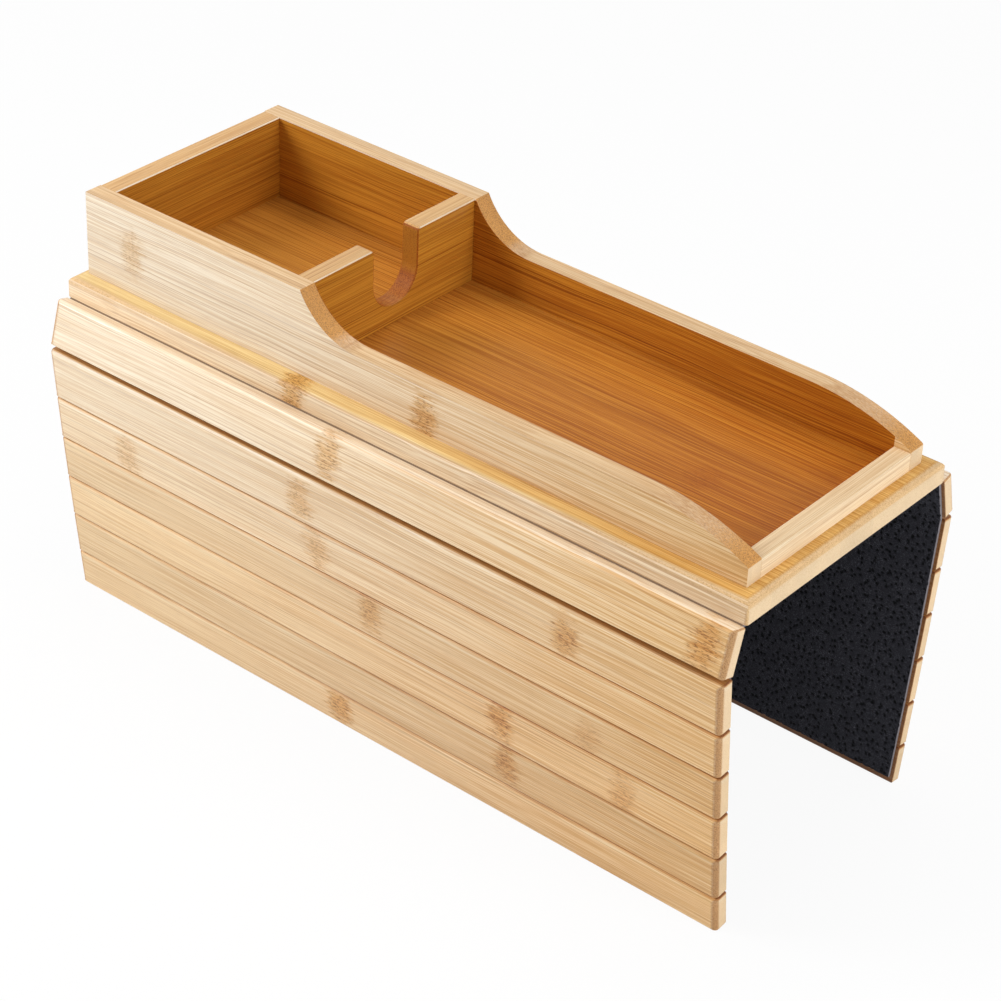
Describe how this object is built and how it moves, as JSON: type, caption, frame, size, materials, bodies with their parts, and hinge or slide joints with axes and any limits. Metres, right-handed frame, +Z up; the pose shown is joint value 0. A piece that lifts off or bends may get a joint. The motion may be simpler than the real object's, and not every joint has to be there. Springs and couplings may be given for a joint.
{
  "type": "sofa arm tray",
  "caption": "Bamboo tray box on a board that sits on a sofa arm, with a cup bay, a slotted divider, a snack bay and slatted side panels that fold on a felt lining.",
  "frame": {"origin": "centre of the felt lining's underside below the base board, where the tray rests on the sofa arm", "axes": "+X along the tray towards its low front end, +Y towards the far panel, +Z up"},
  "size_m": [0.37, 0.164, 0.2034],
  "materials": {
    "board_bamboo": "satin",
    "box_bamboo": "satin",
    "slat_bamboo": "satin",
    "felt": "needled felt",
    "screw_steel": "zinc plated"
  },
  "bodies": {
    "tray": {"base_board": "board_bamboo", "near_side_wall": "box_bamboo", "far_side_wall": "box_bamboo", "rear_wall": "box_bamboo", "divider": "box_bamboo", "front_rail": "box_bamboo", "box_screws": "screw_steel", "board_lining": "felt"},
    "near_leaf_1": {"near_slat_1": "slat_bamboo", "near_lining_1": "felt"},
    "near_leaf_2": {"near_slat_2": "slat_bamboo", "near_lining_2": "felt"},
    "near_leaf_3": {"near_slat_3": "slat_bamboo", "near_lining_3": "felt"},
    "near_leaf_4": {"near_slat_4": "slat_bamboo", "near_lining_4": "felt"},
    "near_leaf_5": {"near_slat_5": "slat_bamboo", "near_lining_5": "felt"},
    "near_leaf_6": {"near_slat_6": "slat_bamboo", "near_lining_6": "felt"},
    "near_leaf_7": {"near_slat_7": "slat_bamboo", "near_lining_7": "felt"},
    "far_leaf_1": {"far_slat_1": "slat_bamboo", "far_lining_1": "felt"},
    "far_leaf_2": {"far_slat_2": "slat_bamboo", "far_lining_2": "felt"},
    "far_leaf_3": {"far_slat_3": "slat_bamboo", "far_lining_3": "felt"},
    "far_leaf_4": {"far_slat_4": "slat_bamboo", "far_lining_4": "felt"},
    "far_leaf_5": {"far_slat_5": "slat_bamboo", "far_lining_5": "felt"},
    "far_leaf_6": {"far_slat_6": "slat_bamboo", "far_lining_6": "felt"},
    "far_leaf_7": {"far_slat_7": "slat_bamboo", "far_lining_7": "felt"}
  },
  "joints": [
    {"name": "near_fold_1", "type": "hinge", "parent": "tray", "child": "near_leaf_1", "pos_m": [0, -0.0695, 0.0015], "axis": [1, 0, 0], "range_deg": [-74.8, 15.2]},
    {"name": "near_fold_2", "type": "hinge", "parent": "near_leaf_1", "child": "near_leaf_2", "pos_m": [0, -0.07527, -0.01973], "axis": [1, 0, 0], "range_deg": [-20.3, 15]},
    {"name": "near_fold_3", "type": "hinge", "parent": "near_leaf_2", "child": "near_leaf_3", "pos_m": [0, -0.07301, -0.04503], "axis": [1, 0, 0], "range_deg": [-0.4, 20]},
    {"name": "near_fold_4", "type": "hinge", "parent": "near_leaf_3", "child": "near_leaf_4", "pos_m": [0, -0.0709, -0.06693], "axis": [1, 0, 0], "range_deg": [-0.4, 50]},
    {"name": "near_fold_5", "type": "hinge", "parent": "near_leaf_4", "child": "near_leaf_5", "pos_m": [0, -0.06864, -0.08881], "axis": [1, 0, 0], "range_deg": [-0.4, 65]},
    {"name": "near_fold_6", "type": "hinge", "parent": "near_leaf_5", "child": "near_leaf_6", "pos_m": [0, -0.06623, -0.11068], "axis": [1, 0, 0], "range_deg": [-0.4, 65]},
    {"name": "near_fold_7", "type": "hinge", "parent": "near_leaf_6", "child": "near_leaf_7", "pos_m": [0, -0.06366, -0.13253], "axis": [1, 0, 0], "range_deg": [-0.4, 65]},
    {"name": "far_fold_1", "type": "hinge", "parent": "tray", "child": "far_leaf_1", "pos_m": [0, 0.0695, 0.0015], "axis": [-1, 0, 0], "range_deg": [-74.8, 15.2]},
    {"name": "far_fold_2", "type": "hinge", "parent": "far_leaf_1", "child": "far_leaf_2", "pos_m": [0, 0.07527, -0.01973], "axis": [-1, 0, 0], "range_deg": [-20.3, 15]},
    {"name": "far_fold_3", "type": "hinge", "parent": "far_leaf_2", "child": "far_leaf_3", "pos_m": [0, 0.07301, -0.04503], "axis": [-1, 0, 0], "range_deg": [-0.4, 20]},
    {"name": "far_fold_4", "type": "hinge", "parent": "far_leaf_3", "child": "far_leaf_4", "pos_m": [0, 0.0709, -0.06693], "axis": [-1, 0, 0], "range_deg": [-0.4, 50]},
    {"name": "far_fold_5", "type": "hinge", "parent": "far_leaf_4", "child": "far_leaf_5", "pos_m": [0, 0.06864, -0.08881], "axis": [-1, 0, 0], "range_deg": [-0.4, 65]},
    {"name": "far_fold_6", "type": "hinge", "parent": "far_leaf_5", "child": "far_leaf_6", "pos_m": [0, 0.06623, -0.11068], "axis": [-1, 0, 0], "range_deg": [-0.4, 65]},
    {"name": "far_fold_7", "type": "hinge", "parent": "far_leaf_6", "child": "far_leaf_7", "pos_m": [0, 0.06366, -0.13253], "axis": [-1, 0, 0], "range_deg": [-0.4, 65]}
  ]
}
